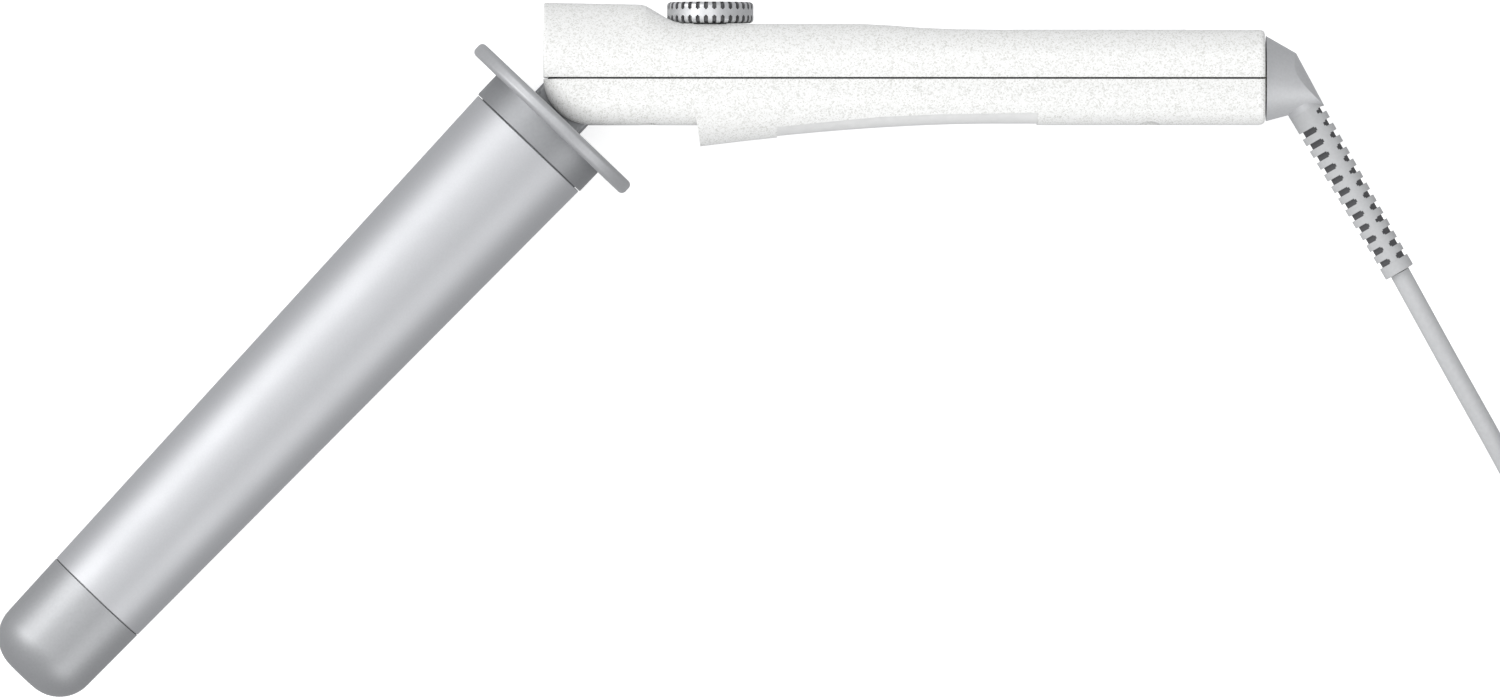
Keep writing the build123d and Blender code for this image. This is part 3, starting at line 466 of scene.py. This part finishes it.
def make_gap_shade_strips():
    """Black strip set back in the gap between the two shells, one each side of the hinge: painted shade for the
    gap's shadow.
    """
    gap_shade_strips = []
    for side, name in ((1, "left"), (-1, "right")):
        shape = bmesh.new()
        verts = [shape.verts.new(place(x, -SEAM_WIDTH / 2, side * z)) for x, z in SEAM_PATH]
        edges = [shape.edges.new(pair) for pair in zip(verts, verts[1:])]
        grown = bmesh.ops.extrude_edge_only(shape, edges=edges)["geom"]
        tops = [v for v in grown if isinstance(v, bmesh.types.BMVert)]
        bmesh.ops.translate(shape, vec=(0, SEAM_WIDTH * MM, 0), verts=tops)
        bmesh.ops.recalc_face_normals(shape, faces=shape.faces)
        bmesh.ops.solidify(shape, geom=shape.faces[:], thickness=SEAM_THICK * MM)
        # the strip is black only to paint the shade in the gap
        gap_shade_strip = close_mesh(shape, "parting_gap_painted_shade_" + name)
        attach(gap_shade_strip, "handle")
        gap_shade_strips.append(gap_shade_strip)
    return gap_shade_strips


cord = make_cord()
dial = make_dial()
relief = make_relief()
gap_shade_strips = make_gap_shade_strips()


# ------------------------------------------------------------ studio

FLOOR_SIZE = 6.0
FLOOR_HEIGHT = -0.2 * MM
FLOOR_GLOW = 0.5
WORLD_GLOW = 0.62
DARK_SIDE_GLOW = 0.46
DARK_SIDE = (0.90, -0.43, 0.0)
SOFT_BOXES = [
    # name, direction, distance, size, power
    ("key", (-0.70, 0.34, 0.62), 1.5, (0.5, 1.2), 9.8),
    ("fill", (0.45, -0.68, 0.50), 1.5, (1.6, 1.0), 7.4),
    ("front", (0.0, 0.0, 1.0), 2.2, (1.2, 1.2), 6.6),
]


def make_floor():
    """Pale matt ground that shows as white, hidden from diffuse and glossy rays."""
    mesh = bpy.data.meshes.new("floor")
    shape = bmesh.new()
    bmesh.ops.create_grid(shape, x_segments=1, y_segments=1, size=FLOOR_SIZE)
    shape.to_mesh(mesh)
    shape.free()
    floor = link("floor", mesh)
    floor.location = (VIEW_CENTRE.x, VIEW_CENTRE.y, FLOOR_HEIGHT)
    material = bpy.data.materials.new("floor")
    material.use_nodes = True
    surface = material.node_tree.nodes["Principled BSDF"]
    surface.inputs["Base Color"].default_value = (0.9, 0.9, 0.9, 1)
    surface.inputs["Roughness"].default_value = 1.0
    surface.inputs["Specular IOR Level"].default_value = 0.0
    surface.inputs["Emission Color"].default_value = (1, 1, 1, 1)
    surface.inputs["Emission Strength"].default_value = FLOOR_GLOW
    mesh.materials.append(material)
    floor.visible_glossy = False
    floor.visible_diffuse = False


def make_light(name, direction, distance, size, power):
    """Soft box that faces the middle of the view."""
    data = bpy.data.lights.new(name, "AREA")
    data.shape = "RECTANGLE"
    data.size = size[0]
    data.size_y = size[1]
    data.energy = power
    light = link(name, data)
    away = Vector(direction).normalized()
    light.location = VIEW_CENTRE + away * distance
    light.rotation_mode = "QUATERNION"
    light.rotation_quaternion = away.to_track_quat("Z", "Y")


def make_surround():
    """Pale room that is darker towards one side."""
    world = bpy.data.worlds.new("studio")
    world.use_nodes = True
    nodes, links = world.node_tree.nodes, world.node_tree.links
    where = nodes.new("ShaderNodeTexCoord")
    turned = nodes.new("ShaderNodeVectorMath")
    turned.operation = "DOT_PRODUCT"
    turned.inputs[1].default_value = DARK_SIDE
    links.new(where.outputs["Generated"], turned.inputs[0])
    fade = nodes.new("ShaderNodeMapRange")
    fade.interpolation_type = "SMOOTHSTEP"
    fade.inputs["From Min"].default_value = -0.1
    fade.inputs["From Max"].default_value = 0.9
    fade.inputs["To Min"].default_value = WORLD_GLOW
    fade.inputs["To Max"].default_value = DARK_SIDE_GLOW
    links.new(turned.outputs["Value"], fade.inputs["Value"])
    back = nodes["Background"]
    back.inputs["Color"].default_value = (0.97, 0.98, 1.0, 1)
    links.new(fade.outputs["Result"], back.inputs["Strength"])
    bpy.context.scene.world = world


def make_studio():
    """Floor, room and soft boxes, shown without a film curve."""
    make_floor()
    make_surround()
    bpy.context.scene.view_settings.view_transform = "Standard"
    for name, direction, distance, size, power in SOFT_BOXES:
        make_light(name, direction, distance, size, power)


make_studio()


# ------------------------------------------------------------ materials

FLAKE_SCALE = 3600
FLAKE_HEIGHT = 0.00004
GRAIN_HEIGHT = 0.00002
CLOUD_SCALE = 60
ROUGHNESS_DRIFT = 0.04


def new_material(name):
    """A material with its node list and link list."""
    material = bpy.data.materials.new(name)
    material.use_nodes = True
    return material, material.node_tree.nodes, material.node_tree.links


def grain(nodes, links, scale, detail=2.0):
    """Fine noise in object space."""
    where = nodes.new("ShaderNodeTexCoord")
    noise = nodes.new("ShaderNodeTexNoise")
    noise.inputs["Scale"].default_value = scale
    noise.inputs["Detail"].default_value = detail
    links.new(where.outputs["Object"], noise.inputs["Vector"])
    return noise


def shade_range(nodes, links, source, low, high):
    """Colour that goes from low to high over the middle of a noise."""
    ramp = nodes.new("ShaderNodeValToRGB")
    ramp.color_ramp.elements[0].position = 0.3
    ramp.color_ramp.elements[1].position = 0.7
    ramp.color_ramp.elements[0].color = (*low, 1)
    ramp.color_ramp.elements[1].color = (*high, 1)
    links.new(source, ramp.inputs["Fac"])
    return ramp


def add_bump(nodes, links, height, strength, distance):
    """Lets a pattern tilt the surface's normal."""
    bump = nodes.new("ShaderNodeBump")
    bump.inputs["Strength"].default_value = strength
    bump.inputs["Distance"].default_value = distance
    links.new(height, bump.inputs["Height"])
    links.new(bump.outputs["Normal"], nodes["Principled BSDF"].inputs["Normal"])


def finish(name, colour, roughness, metallic=0.0, spread=0.03, scale=900, bump=0.15, coat=0.0):
    """Fine grain in the colour and surface, with slow changes in the roughness."""
    material, nodes, links = new_material(name)
    surface = nodes["Principled BSDF"]
    noise = grain(nodes, links, scale)
    low = [max(0.0, c * (1 - spread)) for c in colour]
    high = [min(1.0, c * (1 + spread)) for c in colour]
    ramp = shade_range(nodes, links, noise.outputs["Fac"], low, high)
    links.new(ramp.outputs["Color"], surface.inputs["Base Color"])
    cloud = grain(nodes, links, CLOUD_SCALE, detail=4.0)
    change = nodes.new("ShaderNodeMapRange")
    change.inputs["To Min"].default_value = roughness - ROUGHNESS_DRIFT
    change.inputs["To Max"].default_value = roughness + ROUGHNESS_DRIFT
    links.new(cloud.outputs["Fac"], change.inputs["Value"])
    links.new(change.outputs["Result"], surface.inputs["Roughness"])
    surface.inputs["Metallic"].default_value = metallic
    surface.inputs["Coat Weight"].default_value = coat
    add_bump(nodes, links, noise.outputs["Fac"], bump, GRAIN_HEIGHT)
    return material


def pearl_white():
    """White lacquer with fine flakes, a few of them grey or bright."""
    material, nodes, links = new_material("pearl_white")
    surface = nodes["Principled BSDF"]
    where = nodes.new("ShaderNodeTexCoord")
    flakes = nodes.new("ShaderNodeTexVoronoi")
    flakes.inputs["Scale"].default_value = FLAKE_SCALE
    links.new(where.outputs["Object"], flakes.inputs["Vector"])
    split = nodes.new("ShaderNodeSeparateColor")
    links.new(flakes.outputs["Color"], split.inputs["Color"])
    ramp = nodes.new("ShaderNodeValToRGB")
    ramp.color_ramp.elements[0].position = 0.0
    ramp.color_ramp.elements[0].color = (0.70, 0.70, 0.665, 1)
    ramp.color_ramp.elements[1].position = 1.0
    ramp.color_ramp.elements[1].color = (0.99, 0.99, 0.975, 1)
    middle = ramp.color_ramp.elements.new(0.4)
    middle.color = (0.92, 0.92, 0.90, 1)
    links.new(split.outputs["Red"], ramp.inputs["Fac"])
    links.new(ramp.outputs["Color"], surface.inputs["Base Color"])
    gloss = nodes.new("ShaderNodeMapRange")
    gloss.inputs["To Min"].default_value = 0.30
    gloss.inputs["To Max"].default_value = 0.55
    links.new(split.outputs["Blue"], gloss.inputs["Value"])
    links.new(gloss.outputs["Result"], surface.inputs["Roughness"])
    surface.inputs["Coat Weight"].default_value = 0.25
    surface.inputs["Coat Roughness"].default_value = 0.25
    add_bump(nodes, links, split.outputs["Green"], 0.10, FLAKE_HEIGHT)
    return material


def node_materials():
    """Finishes by the record's material slots."""
    return {
        "pearl_white": pearl_white(),
        "pad_white": finish("pad_white", (0.83, 0.83, 0.82), 0.42, scale=500, bump=0.05),
        "badge_white": finish("badge_white", (0.90, 0.90, 0.885), 0.25, scale=300, bump=0.03, coat=0.4),
        "grey_plastic": finish("grey_plastic", (0.35, 0.355, 0.365), 0.52, metallic=0.9, scale=1500,
                               bump=0.2),
        "barrel_coating": finish("barrel_coating", (0.56, 0.565, 0.58), 0.55, metallic=0.9, scale=2500,
                                 spread=0.02, bump=0.1),
        "dial_grey": finish("dial_grey", (0.66, 0.665, 0.675), 0.42, metallic=0.75, scale=1500),
        "relief_grey": finish("relief_grey", (0.54, 0.545, 0.55), 0.55, scale=1500, bump=0.2),
        "cord_grey": finish("cord_grey", (0.57, 0.575, 0.58), 0.42, scale=900, bump=0.1),
        "tie_black": finish("tie_black", (0.02, 0.02, 0.022), 0.9, scale=700, bump=0.6),
        "steel": finish("steel", (0.56, 0.56, 0.57), 0.35, metallic=1.0, scale=800),
        "contact_brass": finish("contact_brass", (0.72, 0.55, 0.26), 0.3, metallic=1.0, scale=800),
        "board_green": finish("board_green", (0.02, 0.14, 0.05), 0.4, scale=400),
        "component_black": finish("component_black", (0.02, 0.02, 0.022), 0.45, scale=900),
        "capacitor_yellow": finish("capacitor_yellow", (0.65, 0.45, 0.06), 0.3, scale=300, coat=0.3),
        "fuse_glass": finish("fuse_glass", (0.75, 0.74, 0.7), 0.3, scale=600),
        "natural_nylon": finish("natural_nylon", (0.74, 0.71, 0.62), 0.4, scale=500),
        "lead_insulation": finish("lead_insulation", (0.6, 0.1, 0.05), 0.45, scale=600),
        "heater_aluminium": finish("heater_aluminium", (0.7, 0.71, 0.72), 0.4, metallic=1.0, scale=1200),
        "mica": finish("mica", (0.6, 0.52, 0.4), 0.6, scale=300, spread=0.12),
    }


def dress(piece, material):
    """Gives a piece this finish on its first slot and keeps which slot each face is on."""
    slots = [face.material_index for face in piece.data.polygons]
    piece.data.materials.clear()
    piece.data.materials.append(material)
    piece.data.polygons.foreach_set("material_index", slots)


def dress_pieces():
    """Dresses the CAD nodes, three of them in lighter greys than the grey plastic, and the new pieces."""
    finishes = node_materials()
    for entry in frame["record"]["subparts"]:
        dress(frame["nodes"][entry["node"]], finishes[entry["material_slot"]])
    dress(frame["nodes"]["heat_shield"],
          finish("shield_grey", (0.48, 0.485, 0.495), 0.5, metallic=0.6, scale=1500, bump=0.2))
    dress(frame["nodes"]["swivel_elbow"],
          finish("elbow_grey", (0.60, 0.605, 0.615), 0.48, metallic=0.35, scale=1500, bump=0.2))
    dress(frame["nodes"]["tip_cap"],
          finish("tip_grey", (0.42, 0.425, 0.435), 0.52, metallic=0.8, scale=1800, bump=0.15))
    dress(cord, finishes["cord_grey"])
    dress(dial, finishes["dial_grey"])
    # slot 1 of the dial: a dark grey that is painted shade in the notches
    dial.data.materials.append(finish("dial_notch_painted_shade", (0.20, 0.20, 0.205), 0.6, scale=1500))
    dress(relief, finishes["relief_grey"])
    # slot 1 of the sleeve: a near black that is painted shade in the slots
    relief.data.materials.append(finish("relief_slot_painted_shade", (0.10, 0.10, 0.105), 0.6, scale=1500))
    # these strips' black is painted shade in the parting gaps
    for gap_shade_strip in gap_shade_strips:
        dress(gap_shade_strip, finishes["component_black"])


dress_pieces()
